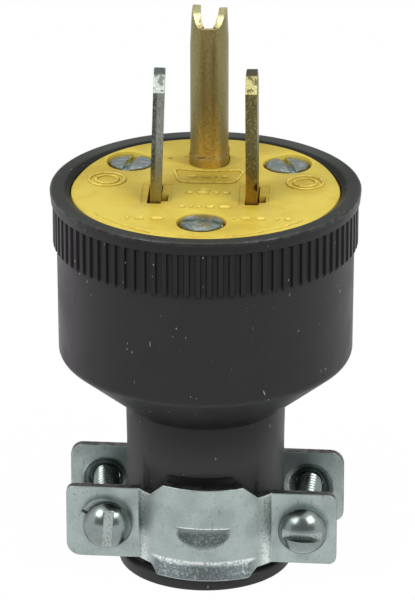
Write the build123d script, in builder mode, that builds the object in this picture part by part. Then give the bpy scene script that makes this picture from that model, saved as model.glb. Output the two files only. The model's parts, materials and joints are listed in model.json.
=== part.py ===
from build123d import *
from math import cos, radians, sin, tan
import os

os.makedirs("parts", exist_ok=True)

# A grounded type b plug with a moulded grip, a round face and a two-strap cord clamp.
# Origin: middle of the foot of the cord end. +Z runs up to the blades, -Y is the front.

# Shared clearances
slip = 0.05
screw_clearance = 0.2
blade_clearance = 0.25
pin_clearance = 0.12
edge_break = 0.3

# Moulded grip, outside
body_height = 53.2
collar_height = 7.7
band_height = 1.7
band_od = 40.8
band_lean = 0.2
collar_step = 0.4
collar_lead = 0.45
grip_step = 0.5
grip_draft = 0.08
shoulder_top = 30.3
shoulder_round = 1.5
neck_top = 23.05
neck_od = 21.2
neck_draft = 0.1
flange_step = 1.15
flange_height = 1.7
flange_round = 0.35
rim_break = 0.12
rib_count = 80
groove_width = 0.75
groove_depth = 0.4

# Moulded grip, inside
cord_bore = 13.0
chamber_ledge = 2.1
chamber_floor = 31.0
funnel_foot = 22.0
boss_od = 6.4
boss_top = 38.0
insert_od = 4.6
insert_length = 6.0
insert_relief = 1.0

# Yellow face
rim_width = 2.8
rim_slope = 0.9
face_gap = 0.15
face_depth = 0.6
face_thickness = 3.0
window_width = 4.0
window_length = 6.8
window_shift = 0.25
window_depth = 0.25
probe_width = 1.1
probe_length = 2.4
probe_y = -2.95
probe_depth = 2.4
heel_width = 6.5
heel_length = 0.8
heel_y = 11.9

# Contacts
blade_spacing = 12.7
blade_shift = -0.15
blade_y = -1.7
blade_width = 6.35
blade_thickness = 1.5
blade_length = 17.0
blade_root = 0.5
blade_corner = 1.9
blade_tip_bevel = 0.22
neutral_lean = 1.9
hot_lean = 0.4
shoulder_width = 8.6
shoulder_height = 2.0
tail_length = 8.6
pin_front_y = 7.76
pin_width = 4.96
pin_sheet = 1.1
pin_length = 21.15
pin_scoop = 1.85
pin_scoop_width = 6.98
pin_scoop_inner_width = 1.88
pin_scoop_rise = 0.3
pin_taper = 0.22
pin_taper_length = 4.5
pin_bevel_height = 2.0
pin_bevel_depth = 0.28
pin_foot_width = 5.25
pin_foot_height = 1.4
pin_tail_width = 7.2

# Inner insulator
block_gap = 0.3
pocket_width = 9.0
pocket_roof = 1.2

# Terminals
terminal_drop = 5.2
terminal_screw_d = 3.5
terminal_head_d = 6.4
terminal_head_height = 2.0
terminal_tip = 2.2
terminal_relief = 0.4
terminal_slot_width = 1.0
terminal_slot_depth = 0.9
plate_size = 6.8
plate_thickness = 1.2

# Face screws
rear_screw_inset = 3.45
rear_screw_angle = 43.0
front_screw_inset = 6.0
face_head_d = 5.7
face_head_height = 1.45
face_recess_d = 6.1
face_screw_d = 2.9
face_slot_width = 1.0
face_slot_depth = 0.8
face_slot_turns = {"front": -5.0, "left": 77.0, "right": 108.0}
face_dome = 0.35
face_screw_reach = 0.5

# Cord clamp
clamp_turn = -2.0
strap_sheet = 1.2
strap_gap = 0.25
ear_inset = 4.15
ear_foot = 2.55
ear_top = 12.7
ear_corner = 1.4
front_ear_length = {"left": 4.95, "right": 4.95}
back_ear_length = {"left": 5.8, "right": 5.15}
ear_overlap = 8.3
bend_round = 0.4
tab_top = 14.7
tab_width = 11.0
tab_root_width = 14.4
tab_flare = 0.25
lip_foot = 1.95
lip_width = 12.4
lip_root_width = 14.2
lip_crease = 4.0
lip_flare = 1.15
moon_width = 7.4
moon_height = 2.6
moon_top = 8.75
moon_depth = 0.8
saddle_depth = 0.5
saddle_angle = 46.0
saddle_blend = 13.0
saddle_top = 17.5
notch_foot = 13.2
notch_top = 16.3
notch_half = 4.4
notch_spread = 2.0
notch_depth = 1.0

# Clamp screws
clamp_screw_inset = 2.8
clamp_screw_shift = 0.5
clamp_screw_leans = {"left": 6.5, "right": 0.0}
clamp_screw_z = 7.7
clamp_screw_d = 2.9
clamp_head_d = 6.5
clamp_head_height = 2.3
head_lip = 0.25
clamp_slot_width = 1.2
clamp_slot_depth = 1.1
clamp_slot_turns = {"left": 86.0, "right": -3.0}
clamp_screw_reach = 0.9
washer_od = 6.5
washer_bore = 4.2
washer_thickness = 0.8
washer_split = 0.45
washer_drift = {"left": (-0.45, 0.36), "right": (0.0, 0.0)}
washer_turns = {"left": 152.0, "right": -60.0}
dish_d = 6.1
dish_depth = 1.0
dish_taper = 50.0
tube_od = 4.8
tube_length = 1.4

# Sizes that several pieces share
rim_z = body_height
band_foot_od = band_od - 2 * band_lean
collar_od = band_od - 2 * collar_step
grip_top_od = collar_od - 2 * grip_step
grip_foot_od = grip_top_od - 2 * grip_draft
neck_foot_od = neck_od - 2 * neck_draft
flange_od = neck_foot_od + 2 * flange_step
face_od = band_od - 2 * rim_width
chamber_od = face_od - 2 * chamber_ledge
saddle_od = neck_foot_od - 2 * saddle_depth
saddle_edge = neck_foot_od / 2 * cos(radians(saddle_angle))
strap_bore = saddle_od + 2 * strap_gap
face_z = rim_z - face_depth
seat_z = face_z - face_thickness
band_z = rim_z - band_height
collar_z = rim_z - collar_height
shoulder_z = seat_z - shoulder_height
tail_z = shoulder_z - tail_length
terminal_z = shoulder_z - terminal_drop
pocket_z = shoulder_z - pocket_roof
pin_y = pin_front_y + pin_width / 2
pin_tip_z = face_z + pin_length
half_blade = blade_thickness / 2
blade_spots = {"neutral": blade_shift - blade_spacing / 2, "hot": blade_shift + blade_spacing / 2}
rear_screw_x = (face_od / 2 - rear_screw_inset) * cos(radians(rear_screw_angle))
rear_screw_y = (face_od / 2 - rear_screw_inset) * sin(radians(rear_screw_angle))
front_screw_y = front_screw_inset - face_od / 2
screw_spots = {
    "front": (0, front_screw_y),
    "left": (-rear_screw_x, rear_screw_y),
    "right": (rear_screw_x, rear_screw_y),
}
ear_inner = strap_bore / 2 - ear_inset
ear_outer = ear_inner + strap_sheet
strap_skin = strap_bore / 2 + strap_sheet
clamp_screw_half = strap_bore / 2 + clamp_screw_inset
clamp_screw_length = 2 * ear_outer + washer_thickness + tube_length + clamp_screw_reach
clamp_spots = {"left": clamp_screw_shift - clamp_screw_half, "right": clamp_screw_shift + clamp_screw_half}


def clamp_plane(turn):
    """Upright plane through the axis: local x is to the right, local y up, local z outwards."""
    angle = radians(clamp_turn + turn)
    return Plane(
        origin=(0, 0, 0),
        x_dir=(cos(angle), sin(angle), 0),
        z_dir=(sin(angle), -cos(angle), 0),
    )


clamp_front = clamp_plane(0)
clamp_back = clamp_plane(180)


def corner(sketch, x, y):
    """Corner of a sketch that is nearest to a place given in the sketch's own plane."""
    return sketch.vertices().sort_by_distance((x, y, 0))[0]


def finish(piece, name):
    piece.part.label = name
    export_step(piece.part, f"parts/{name}.step")


# Hollow of the grip: cord bore, funnel, wiring chamber and face seat, less the three insert bosses
with BuildPart() as hollow:
    with BuildSketch(Plane.XZ):
        with BuildLine():
            Polyline(
                (0, 0),
                (cord_bore / 2, 0),
                (cord_bore / 2, funnel_foot),
                (chamber_od / 2, chamber_floor),
                (chamber_od / 2, seat_z),
                (face_od / 2 + face_gap, seat_z),
                (face_od / 2 + face_gap, face_z),
                (face_od / 2 + face_gap + rim_slope, rim_z),
                (0, rim_z),
                close=True,
            )
        make_face()
    revolve(axis=Axis.Z)
    with BuildSketch(Plane.XY.offset(funnel_foot)):
        with Locations(*screw_spots.values()):
            Circle(boss_od / 2)
        with Locations((0, front_screw_y - boss_od / 2)):
            Rectangle(boss_od / 2, boss_od)
    extrude(amount=boss_top - funnel_foot, mode=Mode.SUBTRACT)

# Moulded grip: turned outside and inside, with ribs round the collar
with BuildPart() as body_shell:
    with BuildSketch(Plane.XZ) as outside:
        with BuildLine():
            Polyline(
                (0, 0),
                (flange_od / 2, 0),
                (flange_od / 2, flange_height),
                (neck_foot_od / 2, flange_height),
                (neck_foot_od / 2, saddle_top),
                (neck_od / 2, neck_top),
                (grip_foot_od / 2, shoulder_top),
                (grip_top_od / 2, collar_z),
                (collar_od / 2, collar_z + collar_lead),
                (collar_od / 2, band_z),
                (band_foot_od / 2, band_z),
                (band_od / 2, rim_z),
                (0, rim_z),
                close=True,
            )
        make_face()
        fillet(corner(outside, grip_foot_od / 2, shoulder_top), shoulder_round)
        fillet(corner(outside, flange_od / 2, 0), flange_round)
        fillet(corner(outside, flange_od / 2, flange_height), flange_round)
        chamfer(corner(outside, band_od / 2, rim_z), rim_break)
    revolve(axis=Axis.Z)
    # Ribs are what is left between the grooves
    with BuildSketch(Plane.XY.offset(collar_z)):
        with PolarLocations(collar_od / 2, rib_count):
            Rectangle(2 * groove_depth, groove_width)
    extrude(amount=collar_height - band_height, mode=Mode.SUBTRACT)
    add(hollow.part, mode=Mode.SUBTRACT)
    with BuildSketch(Plane.XY.offset(boss_top - insert_length - insert_relief)):
        with Locations(*screw_spots.values()):
            Circle(insert_od / 2 + slip)
    extrude(amount=insert_length + insert_relief, mode=Mode.SUBTRACT)
    with BuildSketch(Plane.XY.offset(boss_top)):
        with Locations(*screw_spots.values()):
            Circle(face_screw_d / 2 + screw_clearance)
    extrude(amount=seat_z - boss_top, mode=Mode.SUBTRACT)
    # Shallow saddles let the two straps grip the neck, and run out above them
    for plane in (clamp_front, clamp_back):
        for start, top in ((ear_inner - slip, ear_top + slip), (saddle_edge, saddle_top)):
            with BuildSketch(plane.offset(start)):
                with Locations((0, (flange_height + top) / 2)):
                    Rectangle(neck_foot_od, top - flange_height)
            extrude(amount=flange_od / 2, mode=Mode.SUBTRACT)
    with BuildSketch(Plane.XZ):
        with BuildLine():
            Polyline(
                (cord_bore / 2, flange_height),
                (saddle_od / 2, flange_height),
                (saddle_od / 2, saddle_blend),
                (neck_foot_od / 2, saddle_top),
                (cord_bore / 2, saddle_top),
                close=True,
            )
        make_face()
    revolve(axis=Axis.Z)
    # A flat-bottomed notch behind each tab, under a straight ledge
    for plane in (clamp_front, clamp_back):
        with BuildSketch(plane.offset(neck_od / 2 - notch_depth)):
            Polygon(
                (-notch_half - notch_spread, notch_foot),
                (notch_half + notch_spread, notch_foot),
                (notch_half, notch_top),
                (-notch_half, notch_top),
                align=None,
            )
        extrude(amount=neck_od / 2, mode=Mode.SUBTRACT)
finish(body_shell, "body_shell")

# Yellow face: a disc with blade slots, a pin slot and three screw recesses
with BuildPart() as face_plate:
    with BuildSketch(Plane.XY.offset(seat_z)):
        Circle(face_od / 2)
        with Locations(*screw_spots.values()):
            Circle(face_screw_d / 2 + screw_clearance, mode=Mode.SUBTRACT)
        with Locations(*((x, blade_y) for x in blade_spots.values())):
            Rectangle(
                blade_thickness + 2 * blade_clearance,
                blade_width + 2 * blade_clearance,
                mode=Mode.SUBTRACT,
            )
        with Locations((0, pin_y)):
            Circle(pin_foot_width / 2 + pin_clearance, mode=Mode.SUBTRACT)
        with Locations((0, pin_y + pin_width / 4)):
            Rectangle(
                pin_foot_width + 2 * pin_clearance,
                pin_width / 2 + 2 * pin_clearance,
                mode=Mode.SUBTRACT,
            )
    extrude(amount=face_thickness)
    top_edge = face_plate.edges().filter_by(GeomType.CIRCLE).group_by(Axis.Z)[-1].sort_by(SortBy.RADIUS)[-1]
    chamfer(top_edge, edge_break)
    with BuildSketch(Plane.XY.offset(face_z - face_head_height)):
        with Locations(*screw_spots.values()):
            Circle(face_recess_d / 2)
    extrude(amount=face_head_height, mode=Mode.SUBTRACT)
    with BuildSketch(Plane.XY.offset(face_z - window_depth)):
        with Locations(*((x + window_shift, blade_y) for x in blade_spots.values())):
            Rectangle(window_width, window_length)
        with Locations((0, heel_y)):
            Rectangle(heel_width, heel_length)
    extrude(amount=window_depth, mode=Mode.SUBTRACT)
    with BuildSketch(Plane.XY.offset(face_z - probe_depth)):
        for x in blade_spots.values():
            with Locations((x + half_blade + probe_width / 2, probe_y)):
                Rectangle(probe_width, probe_length)
    extrude(amount=probe_depth, mode=Mode.SUBTRACT)
finish(face_plate, "face_plate")


# Flat blades: a T shoulder is trapped under the face and a tail takes the wire
def blade(x, lean):
    seat = Plane(origin=(x, blade_y, seat_z), x_dir=(0, 1, 0), z_dir=(1, 0, 0))
    upright = seat.rotated((0, lean, 0))
    with BuildPart() as piece:
        with BuildSketch(upright.offset(-half_blade)) as outline:
            with Locations((0, (face_thickness + blade_length - blade_root) / 2)):
                Rectangle(blade_width, face_thickness + blade_length + blade_root)
            chamfer(outline.vertices().group_by(Axis.Y)[-1], blade_corner)
        extrude(amount=blade_thickness)
        chamfer(piece.faces().sort_by(Axis.Z)[-1].edges().filter_by(Axis.Y), blade_tip_bevel)
        with BuildSketch(seat.offset(-half_blade)):
            with Locations((0, -shoulder_height / 2)):
                Rectangle(shoulder_width, shoulder_height)
            with Locations((0, -shoulder_height - tail_length / 2)):
                Rectangle(blade_width, tail_length)
            with Locations((0, terminal_z - seat_z)):
                Circle(terminal_screw_d / 2 + slip, mode=Mode.SUBTRACT)
        extrude(amount=blade_thickness)
    return piece


neutral_blade = blade(blade_spots["neutral"], neutral_lean)
finish(neutral_blade, "neutral_blade")
hot_blade = blade(blade_spots["hot"], -hot_lean)
finish(hot_blade, "hot_blade")

# Ground pin: one strip folded to a U, open at the back, scooped at the tip, flat at the tail
with BuildPart() as ground_pin:
    with BuildSketch(Plane.XY.offset(shoulder_z)):
        with Locations((0, pin_y)):
            Circle(pin_width / 2)
        with Locations((0, pin_y + pin_width / 4)):
            Rectangle(pin_width, pin_width / 2)
    extrude(amount=pin_tip_z - shoulder_z)
    with BuildSketch(Plane.XY.offset(shoulder_z)):
        with Locations((0, pin_y)):
            Circle(pin_foot_width / 2)
    extrude(amount=face_z + pin_foot_height - shoulder_z)
    with BuildSketch(Plane.XY.offset(shoulder_z)):
        with Locations((0, pin_y)):
            Circle(pin_width / 2 - pin_sheet)
        with Locations((0, pin_y + pin_width / 2)):
            Rectangle(pin_width - 2 * pin_sheet, pin_width)
    extrude(amount=pin_tip_z - shoulder_z, mode=Mode.SUBTRACT)
    # A round-bottomed notch, wide outside and narrow inside, parts the tip into two legs
    for depth, width, rise in (
        (0, pin_scoop_width, 0),
        (pin_sheet + pin_taper + half_blade, pin_scoop_inner_width, pin_scoop_rise),
    ):
        with BuildSketch(Plane.XZ.offset(-pin_front_y - depth)):
            with Locations((0, pin_tip_z + rise)):
                Ellipse(width / 2, pin_scoop)
            with Locations((0, pin_tip_z + rise + pin_scoop / 2)):
                Rectangle(width, pin_scoop)
    loft(mode=Mode.SUBTRACT)
    # The legs lean in a little at the tip, and the front wall is coined under the notch
    with BuildSketch(Plane.XZ):
        for side in (-1, 1):
            Polygon(
                (side * pin_width / 2, pin_tip_z - pin_taper_length),
                (side * (pin_width / 2 - pin_taper), pin_tip_z),
                (side * pin_width / 2, pin_tip_z),
                align=None,
            )
    extrude(amount=-2 * pin_y, mode=Mode.SUBTRACT)
    with BuildSketch(Plane.YZ):
        with BuildLine():
            Polyline(
                (pin_front_y, pin_tip_z - pin_scoop - pin_bevel_height),
                (pin_front_y + pin_bevel_depth, pin_tip_z - pin_scoop),
                (pin_front_y - pin_sheet, pin_tip_z - pin_scoop),
                close=True,
            )
        make_face()
    extrude(amount=pin_width, both=True, mode=Mode.SUBTRACT)
    with BuildSketch(Plane(origin=(0, pin_front_y, 0), x_dir=(-1, 0, 0), z_dir=(0, 1, 0))):
        with Locations((0, shoulder_z + shoulder_height / 2)):
            Rectangle(shoulder_width, shoulder_height)
        with Locations((0, shoulder_z - tail_length / 2)):
            Rectangle(pin_tail_width, tail_length)
        with Locations((0, terminal_z)):
            Circle(terminal_screw_d / 2 + slip, mode=Mode.SUBTRACT)
    extrude(amount=pin_sheet)
finish(ground_pin, "ground_pin")

# Where each terminal sits: middle of the outer side of its tail, facing outwards
terminals = {
    "neutral": Plane(
        origin=(blade_spots["neutral"] - half_blade, blade_y, terminal_z), x_dir=(0, -1, 0), z_dir=(-1, 0, 0)
    ),
    "hot": Plane(
        origin=(blade_spots["hot"] + half_blade, blade_y, terminal_z), x_dir=(0, 1, 0), z_dir=(1, 0, 0)
    ),
    "ground": Plane(origin=(0, pin_front_y + pin_sheet, terminal_z), x_dir=(-1, 0, 0), z_dir=(0, 1, 0)),
}
tail_sheets = {"neutral": blade_thickness, "hot": blade_thickness, "ground": pin_sheet}

# Inner insulator: pockets for the terminals and slots that trap the contacts under the face
with BuildPart() as contact_block:
    with BuildSketch(Plane.XY.offset(boss_top)):
        Circle(chamber_od / 2 - block_gap)
        with Locations(*screw_spots.values()):
            Circle(face_screw_d / 2 + screw_clearance, mode=Mode.SUBTRACT)
    extrude(amount=seat_z - boss_top)
    for name, plane in terminals.items():
        inner = plane.offset(-tail_sheets[name])
        with BuildSketch(inner):
            with Locations((0, (boss_top + pocket_z) / 2 - terminal_z)):
                Rectangle(pocket_width, pocket_z - boss_top)
        extrude(amount=chamber_od, mode=Mode.SUBTRACT)
        with BuildSketch(inner):
            with Locations((0, shoulder_z + shoulder_height / 2 - terminal_z)):
                Rectangle(shoulder_width + 2 * pin_clearance, shoulder_height)
            with Locations((0, pocket_z + pocket_roof / 2 - terminal_z)):
                Rectangle(pin_tail_width + 2 * pin_clearance, pocket_roof)
        extrude(amount=tail_sheets[name] + pin_clearance, mode=Mode.SUBTRACT)
        with BuildSketch(inner):
            Circle(terminal_screw_d / 2 + screw_clearance)
        extrude(amount=-terminal_tip - terminal_relief, mode=Mode.SUBTRACT)
    with BuildSketch(Plane.XY.offset(shoulder_z)):
        with Locations((0, pin_y)):
            Circle(pin_foot_width / 2 + pin_clearance)
        with Locations((0, pin_y + pin_width / 2)):
            Rectangle(pin_foot_width + 2 * pin_clearance, pin_width)
    extrude(amount=shoulder_height, mode=Mode.SUBTRACT)
finish(contact_block, "contact_block")


# Each wire is held between the tail and a square plate under a screw
def wire_plate(plane):
    with BuildPart() as piece:
        with BuildSketch(plane):
            Rectangle(plate_size, plate_size)
            Circle(terminal_screw_d / 2 + screw_clearance, mode=Mode.SUBTRACT)
        extrude(amount=plate_thickness)
        corners = piece.edges().filter_by(Axis(plane.origin, plane.z_dir))
        chamfer(corners.sort_by(lambda edge: -(edge.center() - plane.origin).length)[0:4], edge_break)
    return piece


def terminal_screw(plane, sheet):
    with BuildPart() as piece:
        with BuildSketch(plane.offset(-sheet - terminal_tip)):
            Circle(terminal_screw_d / 2)
        extrude(amount=sheet + terminal_tip + plate_thickness)
        with BuildSketch(plane.offset(plate_thickness)):
            Circle(terminal_head_d / 2)
        extrude(amount=terminal_head_height)
        top = plane.offset(plate_thickness + terminal_head_height)
        with BuildSketch(top):
            Rectangle(2 * terminal_head_d, terminal_slot_width)
        extrude(amount=-terminal_slot_depth, mode=Mode.SUBTRACT)
    return piece


for name, plane in terminals.items():
    finish(wire_plate(plane), f"{name}_wire_plate")
    finish(terminal_screw(plane, tail_sheets[name]), f"{name}_terminal_screw")


# Long screws pull the face and the block down on threaded inserts in the bosses
def face_screw(spot, turn):
    seat = face_z - face_head_height
    foot = boss_top - insert_length - face_screw_reach
    place = Plane(origin=(*spot, 0), x_dir=(1, 0, 0), z_dir=(0, 0, 1))
    with BuildPart() as piece:
        with BuildSketch(place.offset(foot)):
            Circle(face_screw_d / 2)
        extrude(amount=seat - foot)
        with BuildSketch(place.offset(seat)):
            Circle(face_head_d / 2)
        extrude(amount=face_head_height)
        rim = piece.edges().filter_by(GeomType.CIRCLE).group_by(Axis.Z)[-1]
        chamfer(rim, face_dome, 2 * face_dome)
        with BuildSketch(place.offset(face_z)):
            Rectangle(2 * face_head_d, face_slot_width, rotation=turn)
        extrude(amount=-face_slot_depth, mode=Mode.SUBTRACT)
    return piece


def threaded_insert(spot):
    with BuildPart() as piece:
        with BuildSketch(Plane.XY.offset(boss_top - insert_length)):
            with Locations(spot):
                Circle(insert_od / 2)
                Circle(face_screw_d / 2 + slip, mode=Mode.SUBTRACT)
        extrude(amount=insert_length)
    return piece


for name, spot in screw_spots.items():
    finish(face_screw(spot, face_slot_turns[name]), f"{name}_face_screw")
    finish(threaded_insert(spot), f"{name}_insert")


# Outline of the half moon that is struck into the middle of a strap
def half_moon(plane):
    with BuildSketch(plane) as outline:
        with Locations((0, moon_top)):
            Ellipse(moon_width / 2, moon_height)
        with Locations((0, moon_top + moon_height / 2)):
            Rectangle(moon_width, moon_height, mode=Mode.SUBTRACT)
    return outline.sketch


# The dent is deepest along its straight upper edge
def moon_dent(plane):
    side = Plane(origin=(0, 0, 0), x_dir=plane.z_dir, z_dir=-plane.x_dir)
    with BuildPart() as piece:
        extrude(half_moon(plane.offset(strap_bore / 2)), amount=2 * strap_sheet)
        with BuildSketch(side):
            Polygon(
                (strap_skin - moon_depth, moon_top),
                (strap_skin, moon_top - moon_height),
                (strap_skin + strap_sheet, moon_top - moon_height),
                (strap_skin + strap_sheet, moon_top),
                align=None,
            )
        extrude(amount=moon_width, both=True, mode=Mode.INTERSECT)
    return piece


# The same blow leaves a nub inside the strap, which bites into the saddle of the neck
def moon_nub(plane):
    nub = strap_gap - slip
    with BuildPart() as piece:
        with BuildSketch(Plane.XZ):
            with Locations(((strap_bore - nub) / 2, moon_top - moon_height / 2)):
                Rectangle(nub, moon_height)
        revolve(axis=Axis.Z)
        extrude(half_moon(plane), amount=strap_bore, mode=Mode.INTERSECT)
    return piece


# Clamp strap: a band round part of the neck, a tab above, a flared lip below, an ear at each end
def strap(plane, ear_lengths):
    bore = strap_bore / 2
    left = -clamp_screw_half - ear_lengths[0]
    right = clamp_screw_half + ear_lengths[1]
    with BuildPart() as piece:
        with BuildSketch(Plane.XZ):
            Polygon(
                (bore, lip_crease),
                (bore, ear_top),
                (bore + tab_flare, tab_top),
                (strap_skin + tab_flare, tab_top),
                (strap_skin, ear_top),
                (strap_skin, lip_crease),
                (strap_skin + lip_flare, lip_foot),
                (bore + lip_flare, lip_foot),
                align=None,
            )
        revolve(axis=Axis.Z)
        with BuildSketch(plane.offset(ear_inner)):
            Polygon(
                (left, ear_foot),
                (-lip_root_width / 2, ear_foot),
                (-lip_width / 2, lip_foot),
                (lip_width / 2, lip_foot),
                (lip_root_width / 2, ear_foot),
                (right, ear_foot),
                (right, ear_top),
                (tab_root_width / 2, ear_top),
                (tab_width / 2, tab_top),
                (-tab_width / 2, tab_top),
                (-tab_root_width / 2, ear_top),
                (left, ear_top),
                align=None,
            )
        extrude(amount=strap_bore, mode=Mode.INTERSECT)
        with BuildSketch(plane.offset(ear_inner)) as ears:
            for start, end in ((left, -ear_overlap), (ear_overlap, right)):
                with Locations(((start + end) / 2, (ear_foot + ear_top) / 2)):
                    Rectangle(end - start, ear_top - ear_foot)
            fillet(ears.vertices().filter_by(lambda vertex: abs(vertex.X) > clamp_screw_half), ear_corner)
        extrude(amount=strap_sheet)
        bends = piece.edges().filter_by(Axis.Z).filter_by(
            lambda edge: abs(plane.to_local_coords(edge.center()).Z - ear_outer) < slip
            and abs(edge.length - ear_top + lip_crease) < slip
        )
        fillet(bends, bend_round)
        add(moon_dent(plane).part, mode=Mode.SUBTRACT)
        add(moon_nub(plane).part)
    return piece


with BuildPart() as front_strap:
    add(strap(clamp_front, (front_ear_length["left"], front_ear_length["right"])).part)
    with BuildSketch(clamp_front.offset(ear_inner)):
        with Locations(*((x, clamp_screw_z) for x in clamp_spots.values())):
            Circle(clamp_screw_d / 2 + screw_clearance)
    extrude(amount=strap_sheet, mode=Mode.SUBTRACT)
finish(front_strap, "front_strap")


def clamp_screw_x(name, outwards):
    """Where a clamp screw's axis is across the clamp, at a distance out from the plug's axis."""
    middle = ear_inner + strap_sheet / 2
    return clamp_spots[name] + (outwards - middle) * tan(radians(clamp_screw_leans[name]))


# Each clamp screw has its own plane under its head, square to the screw
def clamp_screw_plane(name):
    lean = radians(clamp_screw_leans[name])
    seat = ear_outer + washer_thickness + (washer_od / 2 + washer_drift[name][0]) * tan(lean)
    return Plane(
        origin=clamp_front.from_local_coords((clamp_screw_x(name, seat), clamp_screw_z, seat)),
        x_dir=clamp_front.x_dir * cos(lean) - clamp_front.z_dir * sin(lean),
        z_dir=clamp_front.z_dir * cos(lean) + clamp_front.x_dir * sin(lean),
    )


screw_planes = {name: clamp_screw_plane(name) for name in clamp_spots}
tube_spots = [(-clamp_screw_x(name, -ear_outer), clamp_screw_z) for name in clamp_spots]

# The back strap has a drawn and tapped tube in each ear, with a rounded dish round its mouth
with BuildPart() as back_strap:
    add(strap(clamp_back, (back_ear_length["right"], back_ear_length["left"])).part)
    with BuildSketch(clamp_back.offset(ear_outer)):
        with Locations(*tube_spots):
            Circle(tube_od / 2)
    extrude(amount=tube_length)
    for plane in screw_planes.values():
        with BuildSketch(plane.offset(-clamp_screw_length)):
            Circle(clamp_screw_d / 2 + slip)
        extrude(amount=clamp_screw_length - strap_bore / 2, mode=Mode.SUBTRACT)
    with BuildSketch(clamp_back.offset(ear_inner)):
        with Locations(*tube_spots):
            Circle(dish_d / 2)
    extrude(amount=dish_depth, taper=dish_taper, mode=Mode.SUBTRACT)
finish(back_strap, "back_strap")


# Round-headed screws run from the front ears, over split washers, into the tubes of the back ears
def clamp_screw(plane, turn):
    with BuildPart() as piece:
        with BuildSketch(plane.offset(-clamp_screw_length)):
            Circle(clamp_screw_d / 2)
        extrude(amount=clamp_screw_length)
        side = Plane(
            origin=plane.origin, x_dir=plane.x_dir + plane.y_dir, z_dir=plane.x_dir - plane.y_dir
        )
        with BuildSketch(side):
            with BuildLine():
                Polyline((0, clamp_head_height), (0, 0), (clamp_head_d / 2, 0), (clamp_head_d / 2, head_lip))
                TangentArc((0, clamp_head_height), (clamp_head_d / 2, head_lip), tangent=(1, 0))
            make_face()
        revolve(axis=Axis(plane.origin, plane.z_dir))
        with BuildSketch(plane.offset(clamp_head_height)):
            Rectangle(2 * clamp_head_d, clamp_slot_width, rotation=turn)
        extrude(amount=-clamp_slot_depth, mode=Mode.SUBTRACT)
    return piece


def split_washer(spot, turn):
    with BuildPart() as piece:
        with BuildSketch(clamp_front.offset(ear_outer)):
            with Locations(spot):
                Circle(washer_od / 2)
                Circle(washer_bore / 2, mode=Mode.SUBTRACT)
            with Locations(Location((*spot, 0), (0, 0, turn))):
                with Locations((washer_od / 2, 0)):
                    Rectangle(washer_od, washer_split, mode=Mode.SUBTRACT)
        extrude(amount=washer_thickness)
    return piece


for name, (drift, rise) in washer_drift.items():
    spot = (clamp_screw_x(name, ear_outer + washer_thickness / 2) + drift, clamp_screw_z + rise)
    finish(clamp_screw(screw_planes[name], clamp_slot_turns[name]), f"{name}_clamp_screw")
    finish(split_washer(spot, washer_turns[name]), f"{name}_split_washer")
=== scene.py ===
import bpy
import bmesh
import json
import numpy as np
from math import cos, pi, radians, sin, tan
from types import SimpleNamespace
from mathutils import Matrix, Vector


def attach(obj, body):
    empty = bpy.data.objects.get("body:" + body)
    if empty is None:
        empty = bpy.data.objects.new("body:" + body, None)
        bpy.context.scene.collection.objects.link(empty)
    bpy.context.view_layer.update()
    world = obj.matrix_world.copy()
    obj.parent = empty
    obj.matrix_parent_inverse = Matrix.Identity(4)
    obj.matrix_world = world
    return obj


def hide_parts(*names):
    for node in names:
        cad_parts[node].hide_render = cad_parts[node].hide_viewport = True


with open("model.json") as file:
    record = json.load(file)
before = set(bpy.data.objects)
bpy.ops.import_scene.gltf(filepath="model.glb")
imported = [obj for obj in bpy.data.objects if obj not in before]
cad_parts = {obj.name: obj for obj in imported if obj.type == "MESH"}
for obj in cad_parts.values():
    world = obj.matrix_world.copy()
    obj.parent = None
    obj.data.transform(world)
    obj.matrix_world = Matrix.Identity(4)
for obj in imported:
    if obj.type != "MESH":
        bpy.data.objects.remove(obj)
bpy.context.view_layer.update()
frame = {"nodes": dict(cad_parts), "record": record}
nodes = frame["nodes"]
metre = 0.001  # every size below is in millimetres
scene = bpy.context.scene
upright = tuple(np.eye(3))
print("frame loaded,", len(nodes), "CAD nodes")


# Meshes from arrays

def gridFaces(rows, columns, closeRows=False, closeColumns=False, start=0):
    # a quad joins point (i, j) to (i+1, j+1); a closed direction joins its last line to its first
    i, j = np.meshgrid(
        np.arange(rows if closeRows else rows - 1),
        np.arange(columns if closeColumns else columns - 1), indexing="ij")
    below, beside = (i + 1) % rows, (j + 1) % columns
    here, there = i * columns, below * columns
    quads = np.stack([here + j, here + beside, there + beside, there + j], -1)
    return quads.reshape(-1, 4) + start


def around(count):
    # equal steps round a full turn
    return np.linspace(0, 2 * pi, count, endpoint=False)


def circleOf(angles):
    # (cos a, sin a) for each angle
    return np.stack([np.cos(angles), np.sin(angles)], -1)


def inScene(name, data):
    made = bpy.data.objects.new(name, data)
    scene.collection.objects.link(made)
    return made


def positions(piece):
    points = np.empty(len(piece.data.vertices) * 3)
    piece.data.vertices.foreach_get("co", points)
    return points.reshape(-1, 3)


def newPiece(name, points, faces, sharpAngle=35.0, marks=None):
    mesh = bpy.data.meshes.new(name)
    mesh.from_pydata((np.asarray(points).reshape(-1, 3) * metre).tolist(), [], [list(face) for face in faces])
    for mark, values in (marks or {}).items():
        mesh.attributes.new(mark, "FLOAT", "POINT").data.foreach_set("value", np.asarray(values, np.float32))
    tidyMesh(mesh, sharpAngle)
    return inScene(name, mesh)


def tidyMesh(mesh, sharpAngle):
    # doubles at poles and seams are merged, normals turned outwards, and creases kept sharp
    work = bmesh.new()
    work.from_mesh(mesh)
    bmesh.ops.remove_doubles(work, verts=work.verts, dist=1e-7)
    bmesh.ops.dissolve_degenerate(work, dist=1e-8, edges=work.edges)
    bmesh.ops.recalc_face_normals(work, faces=work.faces)
    work.to_mesh(mesh)
    work.free()
    shaded(mesh, sharpAngle)


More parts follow.
